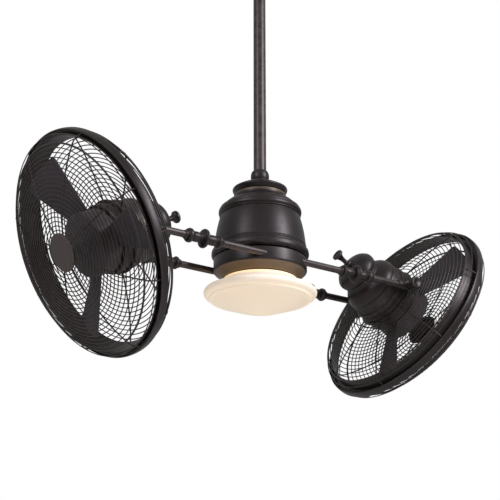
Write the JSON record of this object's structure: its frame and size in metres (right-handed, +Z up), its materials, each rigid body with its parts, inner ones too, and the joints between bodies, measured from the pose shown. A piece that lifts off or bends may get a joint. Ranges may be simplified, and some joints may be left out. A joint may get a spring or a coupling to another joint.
{
  "type": "twin head ceiling fan",
  "caption": "Ceiling fan with twin caged heads that tilt between a pair of turning arm rods, on a downrod, with a glass dish light below the motor body.",
  "frame": {"origin": "centre of the bracket's ceiling face, midway between the two ceiling box screw holes", "axes": "+Z up into the ceiling, X along the arm rods at rest, Y across them"},
  "size_m": [1.0565, 0.456, 1.06],
  "materials": {
    "bronze": "dark oil-rubbed bronze, satin",
    "bronze_lit": "brown bronze, satin",
    "wire_bronze": "dark bronze enamel on steel wire",
    "disc_brown": "smooth brown bronze",
    "blade": "dark purplish brown, matte",
    "tea_glass": "tea-stained opal glass",
    "lamp_glass": "frosted bulb",
    "porcelain": "glazed white ceramic",
    "zinc_steel": "zinc plated",
    "bearing_steel": "ground bright steel",
    "cast_aluminium": "as cast",
    "gear_brass": "machined",
    "contact_brass": "polished contact rings",
    "motor_core": "varnished laminations and copper coils",
    "black_nylon": "moulded"
  },
  "bodies": {
    "ceiling_mount": {"ceiling_bracket": "zinc_steel", "ceiling_screws": "zinc_steel", "canopy": "bronze"},
    "hanging_body": {"hanger_ball": "black_nylon", "downrod": "bronze", "rod_pins": "zinc_steel", "yoke": "zinc_steel", "neck_cover": "bronze", "top_cap": "bronze", "mount_plate": "bronze", "upper_dome": "bronze", "housing_barrel": "bronze", "lower_flange": "bronze", "centre_stem": "zinc_steel", "stem_nut": "zinc_steel", "gear_motor": "zinc_steel", "brush_block": "black_nylon", "light_pan": "bronze_lit", "lampholder": "porcelain", "lamp": "lamp_glass", "glass_dish": "tea_glass", "dish_screws": "zinc_steel"},
    "pinion": {"drive_pinion": "gear_brass"},
    "turning_arms": {"carrier": "cast_aluminium", "ring_gear": "gear_brass", "carrier_bearings": "bearing_steel", "slip_ring": "contact_brass", "collar_shell": "bronze", "collar_plate": "bronze_lit", "arm_rods": "bronze", "rod_fittings": "bronze", "rod_eyes": "bronze"},
    "left_head": {"left_motor_barrel": "bronze", "left_rear_cap": "bronze", "left_front_flange": "bronze", "left_tilt_handle": "bronze", "left_trunnions": "bronze", "left_stator": "motor_core", "left_bearings": "bearing_steel", "left_rear_grille": "wire_bronze", "left_front_grille": "wire_bronze", "left_cage_band": "bronze", "left_disc_cap": "disc_brown"},
    "left_knob": {"left_lock_knob": "bronze"},
    "left_fan": {"left_motor_shaft": "bearing_steel", "left_blades": "blade"},
    "right_head": {"right_motor_barrel": "bronze", "right_rear_cap": "bronze", "right_front_flange": "bronze", "right_tilt_handle": "bronze", "right_trunnions": "bronze", "right_stator": "motor_core", "right_bearings": "bearing_steel", "right_rear_grille": "wire_bronze", "right_front_grille": "wire_bronze", "right_cage_band": "bronze", "right_disc_cap": "disc_brown"},
    "right_knob": {"right_lock_knob": "bronze"},
    "right_fan": {"right_motor_shaft": "bearing_steel", "right_blades": "blade"}
  },
  "joints": [
    {"name": "ball_swing", "type": "hinge", "parent": "ceiling_mount", "child": "hanging_body", "pos_m": [0, 0, -0.037], "axis": [1, 0, 0], "range_deg": [-12, 12]},
    {"name": "arm_turn", "type": "hinge", "parent": "hanging_body", "child": "turning_arms", "pos_m": [0, 0, -0.822], "axis": [0, 0, 1], "continuous": true},
    {"name": "pinion_spin", "type": "hinge", "parent": "hanging_body", "child": "pinion", "pos_m": [0.054, 0, -0.8], "axis": [0, 0, 1], "continuous": true},
    {"name": "left_tilt", "type": "hinge", "parent": "turning_arms", "child": "left_head", "pos_m": [-0.343, 0, -0.822], "axis": [0, -1, 0], "range_deg": [-72, 42]},
    {"name": "left_lock", "type": "hinge", "parent": "left_head", "child": "left_knob", "pos_m": [-0.343, 0.1, -0.822], "axis": [0, 1, 0], "range_deg": [0, 360]},
    {"name": "left_spin", "type": "hinge", "parent": "left_head", "child": "left_fan", "pos_m": [-0.343, 0, -0.822], "axis": [-0.8918, 0, -0.4524], "continuous": true},
    {"name": "right_tilt", "type": "hinge", "parent": "turning_arms", "child": "right_head", "pos_m": [0.343, 0, -0.822], "axis": [0, 1, 0], "range_deg": [-72, 42]},
    {"name": "right_lock", "type": "hinge", "parent": "right_head", "child": "right_knob", "pos_m": [0.343, -0.1, -0.822], "axis": [0, -1, 0], "range_deg": [0, 360]},
    {"name": "right_spin", "type": "hinge", "parent": "right_head", "child": "right_fan", "pos_m": [0.343, 0, -0.822], "axis": [0.8805, 0, -0.4741], "continuous": true}
  ],
  "couplings": [
    {"joint": "pinion_spin", "follows": "arm_turn", "ratio": -5}
  ]
}
